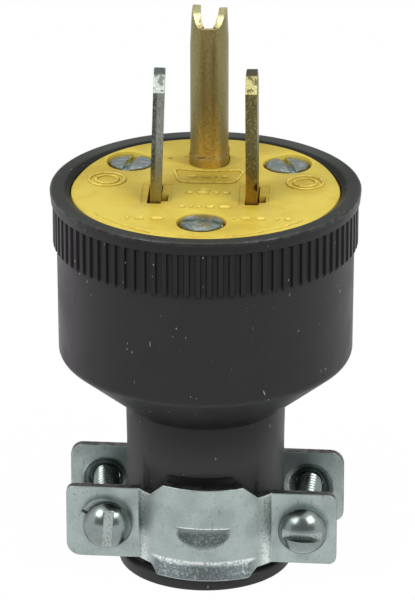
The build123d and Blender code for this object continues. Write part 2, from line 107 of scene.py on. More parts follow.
def shaded(mesh, sharpAngle):
    # smooth, but for edges that turn by more than an angle
    mesh.polygons.foreach_set("use_smooth", np.ones(len(mesh.polygons), bool))
    mesh.set_sharp_from_angle(angle=radians(sharpAngle))
    mesh.update()


def applied(piece, sharpAngle=35.0):
    # the modifiers' result becomes the mesh
    bpy.context.view_layer.update()
    shaped = bpy.data.meshes.new_from_object(piece.evaluated_get(bpy.context.evaluated_depsgraph_get()))
    piece.modifiers.clear()
    piece.data = shaped
    shaped.name = piece.name
    shaded(shaped, sharpAngle)
    return piece


def cutAway(piece, cutters, sharpAngle=35.0):
    for cutter in cutters:
        boolean = piece.modifiers.new("cut", "BOOLEAN")
        boolean.object, boolean.operation, boolean.solver = cutter, "DIFFERENCE", "EXACT"
    applied(piece, sharpAngle)
    for cutter in cutters:
        bpy.data.objects.remove(cutter)
    return piece


def bevelled(piece, width, segments=2, angle=35.0):
    bevel = piece.modifiers.new("edges", "BEVEL")
    bevel.width, bevel.segments = width * metre, segments
    bevel.limit_method, bevel.angle_limit = "ANGLE", radians(angle)
    bevel.use_clamp_overlap = True
    return applied(piece, 40.0)


def joined(name, pieces):
    # one mesh of several closed shells
    work = bmesh.new()
    for piece in pieces:
        work.from_mesh(piece.data)
        bpy.data.objects.remove(piece)
    mesh = bpy.data.meshes.new(name)
    work.to_mesh(mesh)
    work.free()
    return inScene(name, mesh)


def rounded(corners):
    # each corner (x, y, radius, steps) of an open line becomes an arc that touches both of its sides, and a
    # corner (x, y) stays sharp
    line = [np.array(corners[0][:2], float)]
    for before, here, after in zip(corners, corners[1:], corners[2:]):
        point = np.array(here[:2], float)
        if len(here) == 2:
            line.append(point)
            continue
        radius, steps = here[2:]
        toBefore = np.array(before[:2]) - point
        toAfter = np.array(after[:2]) - point
        toBefore /= np.linalg.norm(toBefore)
        toAfter /= np.linalg.norm(toAfter)
        half = np.arccos(np.clip(toBefore @ toAfter, -1, 1)) / 2
        middle = (toBefore + toAfter) / np.linalg.norm(toBefore + toAfter)
        centre = point + middle * radius / sin(half)
        first = point + toBefore * radius / tan(half) - centre
        last = point + toAfter * radius / tan(half) - centre
        swing = np.arccos(np.clip(first @ last / radius ** 2, -1, 1))
        share = np.linspace(0, 1, steps + 1)[:, None]
        arc = np.sin((1 - share) * swing) * first + np.sin(share * swing) * last
        line.extend(centre + arc / sin(swing))
    line.append(np.array(corners[-1][:2], float))
    return np.array(line)


def smooth(low, high, value):
    # s^2 (3 - 2 s), with s from 0 at low to 1 at high
    share = np.clip((value - low) / (high - low), 0, 1)
    return share * share * (3 - 2 * share)


def turned(line, angles, origin, acrossX, acrossY, axis):
    # point = origin + r (cos a X + sin a Y) + h axis, for each (r, h) of the line and each angle a
    r, h = line[:, 0][:, None, None], line[:, 1][:, None, None]
    ring = np.cos(angles)[:, None] * acrossX + np.sin(angles)[:, None] * acrossY
    return origin + r * ring[None] + h * axis


def stack(name, loops, sharpAngle=35.0):
    # loops of equally many points are joined by quads, and a flat face closes the first and the last one
    loops = np.asarray(loops, float)
    rows, columns = loops.shape[:2]
    faces = gridFaces(rows, columns, False, True).tolist()
    faces += [list(range(columns))[::-1], list(range((rows - 1) * columns, rows * columns))]
    return newPiece(name, loops, faces, sharpAngle)


def rod(name, radius, start, end, origin, axes, count=48):
    # a cylinder about the third axis, from start to end along it
    line = np.array([(radius, start), (radius, end)], float)
    return stack(name, turned(line, around(count), origin, *axes))


def block(name, x, y, z):
    # a box between two x, two y and two z
    corners = np.array([(x[0], y[0]), (x[1], y[0]), (x[1], y[1]), (x[0], y[1])], float)
    return stack(name, [np.column_stack([corners, np.full(4, height)]) for height in z])


def bead(name, path, width, height, closed=False, level=0.0):
    # path + n w cos a + z h sin a round each point of a path; open beads thin out to a point at both ends
    path = np.asarray(path, float)
    ahead = np.roll(path, -1, 0) - np.roll(path, 1, 0) if closed else np.gradient(path, axis=0)
    ahead /= np.linalg.norm(ahead, axis=-1, keepdims=True)
    beside = np.column_stack([-ahead[:, 1], ahead[:, 0]])
    ring = around(12)
    share = np.ones(len(path))
    if not closed:
        travelled = np.concatenate([[0], np.cumsum(np.linalg.norm(np.diff(path, axis=0), axis=1))])
        fromEnd = np.minimum(travelled, travelled[-1] - travelled) / np.max(width)
        share = np.sqrt(np.clip(1 - (1 - np.clip(fromEnd, 0, 1)) ** 2, 0, 1))
    width = np.broadcast_to(width, len(path)) * share
    height = np.broadcast_to(height, len(path)) * share
    flat = path[:, None] + beside[:, None] * (width[:, None] * np.cos(ring))[..., None]
    up = level + height[:, None] * np.sin(ring)
    # foot marks the bead's sides near the face, where a painted shadow line runs round each mark
    foot = np.tile(np.abs(np.sin(ring)) < 0.6, len(path)).astype(float)
    points = np.concatenate([flat, up[..., None]], -1)
    return newPiece(name, points, gridFaces(len(path), 12, closed, True), 60.0, {"foot": foot})


# Finishes

def addNode(tree, kind, settings={}, sockets={}):
    # the settings come first, then each socket gets a link or a plain value
    made = tree.nodes.new("ShaderNode" + kind)
    for setting, value in settings.items():
        setattr(made, setting, value)
    for socket, value in sockets.items():
        if isinstance(value, bpy.types.NodeSocket):
            tree.links.new(value, made.inputs[socket])
        else:
            made.inputs[socket].default_value = value
    return made


class Value:
    # a number or colour that changes over the surface; sums on it add Math nodes
    def __init__(self, finish, socket):
        self.finish, self.socket = finish, socket

    def math(self, operation, first, second=0.0):
        return self.finish.node("Math", {"operation": operation}, {0: first, 1: second})

    def __add__(self, other): return self.math("ADD", self, other)
    def __radd__(self, other): return self.math("ADD", other, self)
    def __sub__(self, other): return self.math("SUBTRACT", self, other)
    def __rsub__(self, other): return self.math("SUBTRACT", other, self)
    def __mul__(self, other): return self.math("MULTIPLY", self, other)
    def __rmul__(self, other): return self.math("MULTIPLY", other, self)
    def __abs__(self): return self.math("ABSOLUTE", self)


class Finish:
    def __init__(self, name, sockets):
        self.material = bpy.data.materials.new(name)
        self.material.use_nodes = True
        self.tree = self.material.node_tree
        self.shader = self.tree.nodes["Principled BSDF"]
        for socket, value in sockets.items():
            self.shader.inputs[socket].default_value = value
        coordinates = self.node("TexCoord", {}, {}, "Object")
        self.place = self.node("VectorMath", {"operation": "SCALE"}, {0: coordinates, "Scale": 1 / metre})
        self.x, self.y, self.z = (
            self.node("SeparateXYZ", {}, {0: self.place}, axis) for axis in "XYZ")

    def node(self, kind, settings, sockets, output=0):
        sockets = {key: value.socket if isinstance(value, Value) else value for key, value in sockets.items()}
        return Value(self, addNode(self.tree, kind, settings, sockets).outputs[output])

    def mark(self, name):
        return self.node("Attribute", {"attribute_name": name}, {}, "Fac")

    def stretch(self, x, y, z):
        return self.node("VectorMath", {"operation": "MULTIPLY"}, {0: self.place, 1: (x, y, z)})

    def noise(self, scale, detail=2.0, place=None):
        return self.node("TexNoise", {}, {
            "Vector": place or self.place, "Scale": scale, "Detail": detail, "Roughness": 0.55}, 0)

    def fade(self, value, low, high):
        return self.node("MapRange", {"interpolation_type": "SMOOTHSTEP"}, {
            "Value": value, "From Min": low, "From Max": high})

    def near(self, x, y, z, radius):
        # 1 inside a ball about a point, fading to 0 over its outer half
        away = self.node("VectorMath", {"operation": "DISTANCE"}, {0: self.place, 1: (x, y, z)}, "Value")
        return self.fade(away, radius, radius / 2)

    def mix(self, factor, first, second):
        return self.node("Mix", {"data_type": "RGBA"}, {
            0: factor, 6: asColour(first), 7: asColour(second)}, 2)

    def cover(self, amount, colour):
        self.base = self.mix(amount, self.base, colour)

    def done(self):
        self.drive("Base Color", self.base)
        return self.material

    def drive(self, socket, value):
        self.tree.links.new(value.socket, self.shader.inputs[socket])

    def bump(self, height, distance, strength=1.0):
        self.drive("Normal", self.node("Bump", {}, {
            "Height": height, "Distance": distance * metre, "Strength": strength}, "Normal"))


def asColour(colour):
    return colour if isinstance(colour, Value) else (*colour, 1.0)


def rubberFinish():
    look = {
        "body": (0.0172, 0.0175, 0.0175), "bloom": (0.0215, 0.0205, 0.0213), "side": (0.0245, 0.0178, 0.025),
        "collar": (0.0105, 0.0108, 0.0108), "neck": (0.031, 0.0314, 0.0318), "rim": (0.033, 0.036, 0.032),
        "litRimBack": (0.066, 0.072, 0.067), "paintedShade": (0.003, 0.003, 0.003), "lint": (0.3, 0.25, 0.19)}
    rubber = Finish("blackRubber", {
        "Roughness": 0.42, "IOR": 1.46, "Specular IOR Level": 0.24, "Coat Roughness": 0.14, "Coat IOR": 1.6})
    cloudy = rubber.noise(0.16, 3.0)
    rubber.base = rubber.mix(rubber.fade(cloudy, 0.42, 0.7), look["body"], look["bloom"])
    rubber.cover(rubber.fade(rubber.z, 45.0, 45.6) * 0.8, look["collar"])
    rubber.cover(rubber.fade(rubber.z, 23.2, 22.6), look["neck"])
    # painted light: the rim's up-facing top is painted lighter, and lighter again towards the back
    rim = rubber.mix(rubber.fade(rubber.y, 4.0, 18.0), look["rim"], look["litRimBack"])
    rubber.cover(rubber.fade(rubber.z, 53.02, 53.12), rim)
    # painted light: below the rim the body's sides are painted a lighter purple-grey, the left side more than
    # the right
    outer = rubber.fade(rubber.x, -12.0, -20.0) + rubber.fade(rubber.x, 13.0, 20.0) * 0.4
    rubber.cover(outer * rubber.fade(rubber.z, 52.0, 50.0), look["side"])
    # painted shade on the grooves' walls, in the notches and in the corner under the shoulder
    rubber.cover(rubber.mark("paintedShade") * 0.45, look["paintedShade"])
    fibre = rubber.noise(2.2, 1.0, rubber.stretch(1.0, 1.0, 0.45))
    lint = rubber.fade(fibre, 0.735, 0.765) * rubber.fade(rubber.noise(0.35), 0.47, 0.6)
    rubber.cover(lint, look["lint"])
    rubber.drive("Roughness", rubber.fade(cloudy, 0.3, 0.8) * 0.12 + 0.4)
    rubber.drive("Coat Weight", rubber.mark("edge") * rubber.fade(rubber.noise(0.9), 0.35, 0.6) * 0.4)
    rubber.bump(rubber.noise(3.2, 4.0), 0.02, 0.5)
    return rubber.done()


def yellowFinish():
    look = {
        "body": (0.75, 0.595, 0.09), "deep": (0.66, 0.475, 0.056), "smudge": (0.30, 0.24, 0.09),
        "recessShade": (0.55, 0.27, 0.03), "foot": (0.44, 0.29, 0.035), "high": (0.93, 0.74, 0.16)}
    yellow = Finish("yellowNylon", {"Roughness": 0.42, "IOR": 1.5, "Specular IOR Level": 0.3})
    cloudy = yellow.noise(0.22, 3.0)
    yellow.base = yellow.mix(yellow.fade(cloudy, 0.35, 0.75), look["body"], look["deep"])
    grimeAndShade = yellow.fade(yellow.noise(1.7, 5.0), 0.55, 0.75) * yellow.fade(yellow.noise(0.19, 1.0), 0.48, 0.66)
    yellow.cover(grimeAndShade * 0.35, look["smudge"])
    yellow.cover(yellow.near(-5.2, 11.3, 52.6, 0.42), look["smudge"])
    # painted shadow: a darker line round the foot of each raised mark
    yellow.cover(yellow.mark("foot") * 0.7, look["foot"])
    # the tops of the raised marks are paler, but not the back edge, which is as high
    raised = yellow.fade(yellow.z, 52.68, 52.8) * yellow.fade(yellow.y, 8.6, 7.9)
    yellow.cover(raised * yellow.fade(yellow.noise(1.4), 0.35, 0.6), look["high"])
    # painted shade: surfaces sunk below the face, in holes, slots and recesses, are painted a darker
    # orange-brown
    yellow.cover(yellow.fade(yellow.z, 52.4, 51.4), look["recessShade"])
    yellow.bump(yellow.noise(2.4, 3.0), 0.03, 0.4)
    return yellow.done()


def zincFinish(name, shine, tone=1.0, blotched=0.0):
    # shine: (lowest roughness, its spread, how strong the bumps are); tone: how light the plate is
    look = {"plate": (0.42, 0.49, 0.475), "dull": (0.34, 0.4, 0.39), "speck": (0.07, 0.07, 0.06),
            "shearedAndShade": (0.085, 0.064, 0.058), "struck": (0.145, 0.17, 0.175), "bright": (0.95, 1.0, 0.98)}
    zinc = Finish(name, {"Metallic": 1.0, "Roughness": 0.34})
    cloudy = zinc.noise(0.3, 4.0)
    plate, dull = (tuple(tone * part for part in look[shade]) for shade in ("plate", "dull"))
    zinc.base = zinc.mix(zinc.fade(cloudy, 0.35, 0.7), plate, dull)
    darker = tuple(0.6 * part for part in plate)
    zinc.cover(zinc.fade(zinc.noise(6.0, 2.0), 0.5, 0.75) * 0.35, darker)
    pits = zinc.fade(zinc.noise(2.6, 3.0, zinc.stretch(1.0, 1.0, 1.4)), 0.66, 0.71)
    scratch = zinc.fade(zinc.noise(1.3, 2.0, zinc.stretch(2.6, 2.6, 0.5)), 0.66, 0.69)
    zinc.cover(pits * 0.6 + scratch * 0.3, look["speck"])
    # random near-white blotches, as strong as blotched
    paleBlotches = zinc.fade(zinc.noise(1.1, 4.0, zinc.stretch(1.0, 1.6, 1.6)), 0.54, 0.62)
    zinc.cover(paleBlotches * blotched, look["bright"])
    # on the stamped half-moon and the lip, a darker grained colour: stamped texture and painted shade
    struck = zinc.mark("struck")
    grain = zinc.noise(3.2, 3.0)
    zinc.cover(struck * zinc.fade(grain, 0.78, 0.45), look["struck"])
    # painted highlights on the straps, and a painted reflection on the clamp screws' slot floors
    zinc.cover(zinc.mark("bright") * zinc.fade(grain, 0.36, 0.5), look["bright"])
    # the rim mark darkens the straps' sheared edges and, as painted shade, the screw heads' outer edges
    patchy = zinc.fade(zinc.noise(1.2, 3.0), 0.3, 0.72) * 0.45 + 0.5
    zinc.cover(zinc.mark("rim") * patchy, look["shearedAndShade"])
    zinc.drive("Roughness", zinc.fade(cloudy, 0.3, 0.75) * shine[1] + shine[0])
    zinc.bump(zinc.noise(0.9, 4.0) + grain * (struck * 1.3), 0.05, shine[2])
    return zinc.done()


def brassFinish():
    look = {"middle": (0.3, 0.235, 0.095), "side": (0.265, 0.24, 0.11), "yellowReflectionMiddle": (0.9, 0.66, 0.22),
            "yellowReflectionSide": (0.34, 0.26, 0.09), "streak": (0.15, 0.115, 0.05), "line": (0.08, 0.045, 0.02),
            "cut": (0.95, 0.86, 0.45)}
    brass = Finish("agedBrass", {"Metallic": 1.0, "Roughness": 0.4})
    cloudy = brass.noise(0.5, 5.0, brass.stretch(1.6, 1.6, 0.5))
    # painted light: the pin's middle and its two sides are painted in different tones
    aside = brass.fade(abs(brass.x) + (cloudy - 0.5) * 1.6, 0.5, 1.9)
    high = brass.mix(aside, look["middle"], look["side"])
    # painted reflection of the yellow face: towards the foot the pin is painted a bright orange-gold
    low = brass.mix(aside, look["yellowReflectionMiddle"], look["yellowReflectionSide"])
    brass.base = brass.mix(brass.fade(brass.z + cloudy * 6.0, 66.0, 54.0), high, low)
    grain = brass.noise(3.8, 4.0)
    brass.cover(brass.fade(grain, 0.45, 0.72) * 0.55, look["streak"])
    ring = brass.fade(abs(brass.z - 54.0 + (cloudy - 0.5) * 0.9), 0.12, 0.03)
    ring = ring * brass.fade(brass.noise(1.1), 0.4, 0.6)
    brass.cover(ring * 0.8, look["line"])
    brass.cover(brass.mark("rim") * brass.fade(grain, 0.3, 0.55), look["cut"])
    brass.drive("Roughness", brass.fade(cloudy, 0.3, 0.8) * 0.14 + 0.4)
    brass.bump(grain, 0.03, 0.6)
    return brass.done()


def bladeFinish(name, colours):
    # "across" runs over a blade's sheet from -1 at its left side to 1 at its right; the front cut corner is
    # the plane z - y = cutPlane between cutFoot and cutTop
    cutPlane, cutFoot, cutTop = 72.58, 67.7, 69.5
    blade = Finish(name, {"Metallic": 1.0, "Roughness": 0.42})
    speckle = blade.noise(5.0, 5.0, blade.stretch(1.0, 1.0, 0.7))
    fine = blade.noise(4.2, 3.0)
    across = blade.mark("across") + (speckle - 0.5) * 0.45
    # painted shade: the blade's left side is painted darker than its right, strongly on the neutral blade
    blade.base = blade.mix(blade.fade(across, -0.42, -0.12), colours["left"], colours["right"])
    blade.cover(blade.fade(fine, 0.48, 0.64) * 0.6, colours["speck"])
    blade.cover(blade.fade(speckle, 0.5, 0.38) * 0.3, colours["cut"])
    # painted reflection of the yellow face: the blade is painted orange towards its foot
    low = blade.fade(blade.z + blade.mark("across") * 1.5 + (speckle - 0.5) * 4.0, 57.5, 53.0)
    blade.cover(low * 0.75, colours["foot"])
    cut = blade.fade(abs(blade.z - blade.y - cutPlane), 0.3, 0.15)
    cut = cut * blade.fade(blade.z, cutFoot - 0.1, cutFoot + 0.02)
    cut = cut * blade.fade(blade.z, cutTop + 0.1, cutTop)
    # painted shade: the blade's top end is painted darker
    blade.cover(blade.fade(blade.z, cutTop + 0.02, cutTop + 0.08), colours["shadedTop"])
    scrawl = blade.fade(blade.noise(1.9, 3.0, blade.stretch(1.0, 0.6, 0.6)), 0.5, 0.57)
    blade.cover(cut, blade.mix(scrawl * 0.8, colours["cut"], colours["speck"]))
    blade.cover(blade.near(7.0, -4.6, 54.9, 0.8), (0.05, 0.015, 0.008))
    blade.bump(speckle + fine * (cut * 2.0 + 0.4), 0.05, 0.55)
    return blade.done()


def plainFinish(name, colour, roughness, metallic=0.0, grain=2.0):
    plain = Finish(name, {"Metallic": metallic, "Roughness": roughness})
    cloudy = plain.fade(plain.noise(grain, 3.0), 0.35, 0.75)
    plain.base = plain.mix(cloudy, colour, tuple(0.8 * part for part in colour))
    plain.bump(cloudy, 0.01, 0.3)
    return plain.done()


finishes = {
    "grip": rubberFinish(),
    "face": yellowFinish(),
    "zinc_plate": zincFinish("zincPlate", (0.38, 0.12, 0.45)),
    "clampScrew": zincFinish("clampScrewZinc", (0.2, 0.1, 0.25), 0.64),
    # painted sheen: the face screws' zinc is a lighter copy of the plate, tone 1.28, for their blue-white
    # sheen
    "faceScrew": zincFinish("faceScrewZinc", (0.2, 0.12, 0.8), 1.28, 0.7),
    "brass": brassFinish(),
    "nickel_plate": bladeFinish("nickelPlate", {
        "left": (0.064, 0.073, 0.068), "right": (0.29, 0.3, 0.27), "speck": (0.15, 0.165, 0.13),
        "foot": (0.4, 0.33, 0.15), "cut": (0.52, 0.56, 0.52), "shadedTop": (0.2, 0.25, 0.245)}),
    "hotBrass": bladeFinish("bladeBrass", {
        "left": (0.14, 0.115, 0.042), "right": (0.15, 0.13, 0.056), "speck": (0.1, 0.08, 0.03),
        "foot": (0.42, 0.25, 0.05), "cut": (0.54, 0.5, 0.22), "shadedTop": (0.14, 0.13, 0.07)}),
    "insulator": plainFinish("brownInsulator", (0.62, 0.36, 0.07), 0.5),
    "green_screw": plainFinish("greenScrew", (0.06, 0.3, 0.12), 0.35, 0.6),
}
print("finishes made,", len(finishes))


def place(piece, slot, *replaced, finish=None):
    piece.data.materials.clear()
    piece.data.materials.append(finishes[finish or slot])
    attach(piece, "root")
    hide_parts(*replaced)


# Moulded grip

grip = {
    "height": 53.2, "collar": 7.9, "band": 1.7, "bandRadius": 20.39, "rimRound": 0.34, "bandFoot": 20.2,
    "collarRadius": 20.0, "collarLead": 0.45, "topRadius": 19.5, "footRadius": 19.42,
    "shoulderTop": 30.3, "shoulderRound": 1.5,
    "neckTop": 23.05, "neckRadius": 10.6, "neckFootRadius": 10.5, "flangeRadius": 11.65, "flangeHeight": 1.7,
    "saddleTop": 17.5, "saddleBlend": 13.0, "saddleDepth": 0.5, "saddleAngle": 46.0,
    "ribs": 86, "grooveDepth": 0.3,
    "notchFoot": 13.2, "notchTop": 15.7, "notchHalf": 4.4, "notchSpread": 2.0, "notchFloor": 9.2,
    "pull": 0.45, "bore": 6.5, "funnelFoot": 22.0, "chamberFloor": 31.0, "chamberRadius": 15.5, "seat": 49.6,
    "seatRadius": 17.75, "innerSlope": 0.9, "faceLevel": 52.6,
    "bossRadius": 3.2, "bossTop": 38.0, "insertRadius": 2.35, "insertDepth": 7.0,
}
clampTurn = radians(-2.0)
screwSpots = {"front": (0.0, -11.6), "left": (-10.349, 9.65), "right": (10.349, 9.65)}


def gripMesh():
    g = SimpleNamespace(**grip)
    collarZ, bandZ = g.height - g.collar, g.height - g.band
    neck = [(g.neckFootRadius, height) for height in np.concatenate([
        [10.0, 12.0], np.arange(g.notchFoot - 0.2, g.notchTop + 0.35, 0.15), [17.0, g.saddleTop]])]
    outside = rounded([
        (g.bore, 0),
        (g.flangeRadius, 0, 0.35, 5),
        (g.flangeRadius, g.flangeHeight, 0.35, 5),
        (g.neckFootRadius, g.flangeHeight, 0.25, 3),
        *neck,
        (g.neckRadius, g.neckTop, 0.35, 4),
        (g.footRadius, g.shoulderTop, g.shoulderRound, 10),
        (g.topRadius, collarZ, 0.08, 2),
        (g.collarRadius, collarZ + g.collarLead, 0.15, 3),
        (g.collarRadius, collarZ + 1.2),
        (g.collarRadius, bandZ - 0.3),
        (g.collarRadius, bandZ - 0.12),
        (g.collarRadius, bandZ, 0.06, 2),
        (g.bandFoot, bandZ, 0.08, 2),
        (g.bandRadius - 0.056, g.height - 0.5),
        (g.bandRadius, g.height, g.rimRound, 7),
        (g.bandRadius - 0.5, g.height),
        (g.seatRadius + g.innerSlope, g.height, 0.2, 3),
        (g.seatRadius, g.faceLevel, 0.12, 2),
        (g.seatRadius, g.seat, 0.05, 1),
        (g.chamberRadius, g.seat, 0.2, 2),
        (g.chamberRadius, g.chamberFloor, 0.5, 3),
        (g.bore, g.funnelFoot, 0.5, 3),
        (g.bore, 0.6),
        (g.bore + 0.6, 0),
    ])[1:]
    # eight columns per rib: the groove's floor, its two walls with soft edges, and the rib's crown
    share = np.array([-0.29, -0.25, -0.21, 0, 0.21, 0.25, 0.29, 0.5])
    hollow = np.array([0, 0.5, 1, 1, 1, 0.5, 0, 0])
    wall = np.array([0.35, 1, 0.7, 0, 0.7, 1, 0.35, 0])
    pitch = 2 * pi / g.ribs
    angles = (np.arange(g.ribs)[:, None] + share[None]).ravel() * pitch
    grooves, walls = np.tile(hollow, g.ribs), np.tile(wall, g.ribs)
    points = turned(outside, angles, np.zeros(3), *upright)
    r = np.repeat(outside[:, 0][:, None], len(angles), 1)
    z = np.repeat(outside[:, 1][:, None], len(angles), 1)
    # grooves: depth is full between the band and the lead at the collar's foot, where a thin line is left
    ribbed = (r > g.topRadius + 0.05) & (z < bandZ - 0.02) & (z > collarZ)
    depth = g.grooveDepth * smooth(bandZ - 0.05, bandZ - 0.25, z)
    cutRadius = np.maximum(r - depth * grooves[None], g.topRadius + 0.06)
    # saddles: front and back of the neck are flattened in for the straps
    fromFront = np.abs(((angles - clampTurn + pi) % pi) - pi / 2)
    reach = smooth(radians(g.saddleAngle + 0.9), radians(g.saddleAngle - 0.9), fromFront)
    onNeck = (r > g.bore + 2) & (r < g.neckRadius + 0.05) & (z > g.flangeHeight + 0.1)
    pulled = g.pull * np.maximum(-np.cos(angles), 0)  # the strap is pulled over to the right
    dip = (g.saddleDepth + pulled) * smooth(g.saddleTop, g.saddleBlend, z) * reach[None]
    newRadius = np.where(ribbed, cutRadius, np.where(onNeck & (z < g.saddleTop + 0.01), r - dip, r))
    # notches: out = min(out, floor) inside a trapezoid behind each tab
    out = newRadius * np.cos(fromFront)[None]
    across = newRadius * np.sin(fromFront)[None]
    half = g.notchHalf + g.notchSpread * (g.notchTop - z) / (g.notchTop - g.notchFoot)
    inside = smooth(half + 0.2, half - 0.2, across) * smooth(g.notchTop + 0.25, g.notchTop - 0.25, z)
    inside = inside * smooth(g.notchFoot - 0.1, g.notchFoot + 0.1, z) * onNeck * (z < g.saddleTop)
    sunk = np.minimum(out, g.notchFloor) / np.cos(fromFront)[None]
    newRadius = newRadius + (sunk - newRadius) * inside
    points[..., :2] *= (newRadius / r)[..., None]
    # painted shade: dark lines on the grooves' walls, in the notches, and in the corner under the shoulder
    corner = smooth(0.55, 0.1, np.abs(z - g.neckTop)) * (r > g.bore + 2)
    paintedShade = np.maximum(np.maximum(ribbed * walls[None], inside * 0.8), 0 * r + 1.5 * corner)
    edge = ((r > g.bandRadius - 0.45) & (z > g.height - 0.45)).astype(float)
    marks = {"paintedShade": paintedShade.ravel(), "edge": edge.ravel()}
    return newPiece("grip", points, gridFaces(len(outside), len(angles), True, True), 50.0, marks)


def bossMesh(spot):
    # an outline (r, z) turned about a screw's axis
    g = SimpleNamespace(**grip)
    foot = g.funnelFoot + 5.5
    line = rounded([
        (0, g.bossTop - g.insertDepth), (g.insertRadius, g.bossTop - g.insertDepth),
        (g.insertRadius, g.bossTop), (g.bossRadius, g.bossTop, 0.2, 3),
        (g.bossRadius, foot), (0, foot)])
    ring = around(48)
    points = turned(line, ring, np.array([*spot, 0.0]), *upright)
    return newPiece("boss", points, gridFaces(len(line), len(ring), False, True))


shell = joined("grip", [gripMesh(), *[bossMesh(spot) for spot in screwSpots.values()]])
place(shell, "grip", "body_shell")
print("grip made,", len(shell.data.polygons), "faces")


# Yellow face

face = {
    "radius": 17.6, "level": 52.6, "seat": 49.6, "edge": 0.3, "recess": 3.25, "recessDepth": 1.15,
    "hole": 1.65, "bladeX": (-6.5, 6.2), "bladeY": -1.7, "slotHalf": (0.9, 3.36), "windowHalf": (1.95, 3.5),
    "windowShift": 0.2, "windowDepth": 0.07, "probeWidth": 1.05, "probeHalf": 1.2, "probeY": -2.95,
    "probeDepth": 1.1,
    "pinY": 10.24, "pinHole": 2.67, "heelHalf": 3.25, "heelY": (11.5, 12.3), "soft": 0.06,
    "markWidth": 0.2, "markHeight": 0.26, "barWidth": 0.58, "flashRadius": 16.45,
    "backRise": 0.38, "riseReach": 2.4, "riseSpread": 1.3,
}


def faceMesh():
    f = SimpleNamespace(**face)
    ring = around(240)
    circle = circleOf(ring)
    # the back edge is lifted by the smooth step of sin(angle), and follows the rim's slope outwards
    rise = f.backRise * smooth(0.2, 0.85, np.sin(ring))
    soft = [(0, f.seat, 0), (0, f.level - f.edge, 1), (0.1, f.level - 0.1, 1), (f.edge, f.level, 1),
            (f.riseReach, f.level, 0)]
    loops = []
    for inset, height, lift in soft:
        radius = f.radius - inset + f.riseSpread * lift * rise
        loops.append(np.column_stack([circle * radius[:, None], height + lift * rise]))
    disc = stack("face", loops)
    low, high = f.seat - 1, f.level + 1
    windowLow = f.level - f.windowDepth
    cutters = [block("pinSlot", (-f.pinHole, f.pinHole), (f.pinY, f.pinY + 2.6), (low, high)),
               rod("pinHole", f.pinHole, low, high, np.array([0, f.pinY, 0]), upright, 64),
               block("heel", (-f.heelHalf, f.heelHalf), f.heelY, (windowLow, high))]
    for x in f.bladeX:
        y, (across, along), (wide, long) = f.bladeY, f.slotHalf, f.windowHalf
        middle = x + f.windowShift
        cutters += [
            block("slot", (x - across, x + across), (y - along, y + along), (low, high)),
            block("window", (middle - wide, middle + wide), (y - long, y + long), (windowLow, high)),
            block("probe", (x + across / 2, x + 0.75 + f.probeWidth),
                  (f.probeY - f.probeHalf, f.probeY + f.probeHalf), (f.level - f.probeDepth, high))]
    for spot in screwSpots.values():
        origin = np.array([*spot, 0.0])
        cutters += [rod("recess", f.recess, f.level - f.recessDepth, high, origin, upright, 72),
                    rod("hole", f.hole, low, high, origin, upright, 32)]
    return bevelled(cutAway(disc, cutters), f.soft, 2)


def faceMarks():
    # plain rings, a plain long outline and rows of short plain bars stand where a maker would put marks
    f = SimpleNamespace(**face)
    top = f.level - 0.02
    circle = circleOf(around(72))
    marks = []
    for x, y in ((-13.1, 3.0), (12.9, 3.0)):
        for radius in (2.35, 1.45):
            marks.append(bead("ring", circle * radius + (x, y), f.markWidth, f.markHeight, True, top))
    boat = rounded([
        (0.1, 6.5), (4.8, 7.2, 0.7, 6), (3.7, 2.4, 1.4, 8), (-3.5, 2.4, 1.4, 8),
        (-4.6, 7.2, 0.7, 6), (0.1, 6.5)])[:-1]
    marks.append(bead("outline", boat, f.markWidth, f.markHeight, True, top))
    rows = (
        (4.8, (-2.6, -1.3), (-0.9, 0.5), (0.9, 1.4), (1.8, 2.8)),
        (-1.1, (-2.6, -1.5), (-1.1, 0.6), (1.0, 1.9), (2.3, 3.3)), (-0.1, (-0.9, 0.7)),
        (-6.1, (-3.2, -2.3), (-1.9, -1.3), (-0.9, -0.2), (0.3, 1.5), (1.9, 3.7)),
        (-10.5, (-9.8, -9.3), (-8.7, -7.4), (-6.6, -4.9)),
        (-10.0, (3.9, 4.4), (5.0, 6.4), (6.9, 8.3), (9.4, 10.0), (10.6, 11.6)))
    for y, *bars in rows:
        for start, end in bars:
            line = np.column_stack([np.linspace(start, end, 14), np.full(14, y)])
            marks.append(bead("bar", line, f.barWidth, f.markHeight, False, top))
    # rough flash that a mould left inside the front edge
    luck = np.random.default_rng(7)
    swing = np.linspace(radians(212), radians(322), 150)
    wander = np.convolve(luck.normal(0, 1, 156), np.ones(7) / 7, "valid")
    line = circleOf(swing) * (f.flashRadius + 0.16 * wander)[:, None]
    rough = np.clip(0.13 + 0.09 * np.convolve(luck.normal(0, 1, 152), np.ones(3) / 3, "valid"), 0.04, 0.3)
    marks.append(bead("flash", line, rough * 1.3, rough, False, top))
    return marks


place(joined("face", [faceMesh(), *faceMarks()]), "face", "face_plate")
print("face made")


# Flat blades

bladeLook = {
    "half": 0.75, "wide": 3.175, "length": 17.0, "seat": 49.6, "faceThickness": 3.0, "root": 0.5,
    "corner": 1.9, "tip": 0.12, "shoulderHalf": 4.3, "shoulderHeight": 2.0, "tail": 8.6, "holeUp": 42.4,
    "hole": 1.8,
    "leans": (1.9, -0.4), "turns": (2.5, 0.0),  # degrees, left blade and right blade
}


